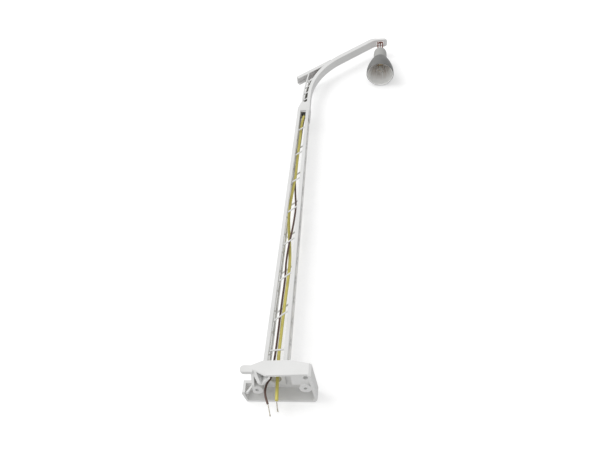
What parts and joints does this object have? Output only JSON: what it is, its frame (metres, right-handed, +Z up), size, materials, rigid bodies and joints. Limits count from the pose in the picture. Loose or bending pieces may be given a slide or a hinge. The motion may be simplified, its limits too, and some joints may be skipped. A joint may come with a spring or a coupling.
{
  "type": "model railway arm lamp",
  "caption": "Model-railway yard light: tapered lattice mast on a hollow foot, with a bent channel arm, a hanging lamp in a deep shade, and two lead wires that leave below the foot.",
  "frame": {"origin": "on the mast's axis, in the plane where the foot sits on the layout board", "axes": "+Z up the mast, +X towards the lamp, -Y the front of the mast"},
  "size_m": [0.0489, 0.0146, 0.2021],
  "materials": {
    "grey_plastic": "satin moulded plastic",
    "shade_grey": "satin paint",
    "cap_grey": "satin moulded plastic",
    "enamelled_copper": "enamelled copper wire",
    "tinned_copper": "tinned strands",
    "brass": "drawn brass",
    "yellow_insulation": "extruded insulation",
    "brown_insulation": "extruded insulation",
    "black_phenolic": "moulded",
    "clear_glass": "clear",
    "bright_steel": "drawn"
  },
  "bodies": {
    "mast": {"foot_shell": "grey_plastic", "mast_plug": "grey_plastic", "mast_angle_front_left": "grey_plastic", "mast_angle_front_right": "grey_plastic", "mast_angle_rear_left": "grey_plastic", "mast_angle_rear_right": "grey_plastic", "front_ladder": "grey_plastic", "rear_ladder": "grey_plastic", "left_ladder": "grey_plastic", "right_ladder": "grey_plastic", "head_block": "grey_plastic", "arm_channel": "grey_plastic", "top_strut": "grey_plastic", "upper_leg_front": "grey_plastic", "upper_leg_rear": "grey_plastic", "upper_ladder_front": "grey_plastic", "upper_ladder_rear": "grey_plastic", "yellow_wire": "yellow_insulation", "brown_wire": "brown_insulation", "yellow_bare_end": "tinned_copper", "brown_bare_end": "tinned_copper", "arm_lead_front": "enamelled_copper", "arm_lead_rear": "enamelled_copper", "solder_sleeve_yellow": "black_phenolic", "solder_sleeve_brown": "black_phenolic", "hanger_pin": "bright_steel"},
    "lamp_head": {"hanger_wire": "enamelled_copper", "neck_lead_left": "enamelled_copper", "neck_lead_right": "enamelled_copper", "lamp_cap": "cap_grey", "socket_insulator": "black_phenolic", "contact_sleeve": "brass", "centre_contact": "brass", "lamp_shade": "shade_grey"},
    "bulb": {"bulb_base": "bright_steel", "bulb_glass": "clear_glass", "bulb_bead": "clear_glass", "filament_post_left": "enamelled_copper", "filament_post_right": "enamelled_copper", "filament": "bright_steel"}
  },
  "joints": [
    {"name": "lamp_swing", "type": "hinge", "parent": "mast", "child": "lamp_head", "pos_m": [0.0324, 0, 0.19192], "axis": [0, 1, 0], "range_deg": [-15, 15]},
    {"name": "bulb_pull", "type": "slide", "parent": "lamp_head", "child": "bulb", "axis": [0, 0, -1], "range_m": [0, 0.0038]}
  ]
}
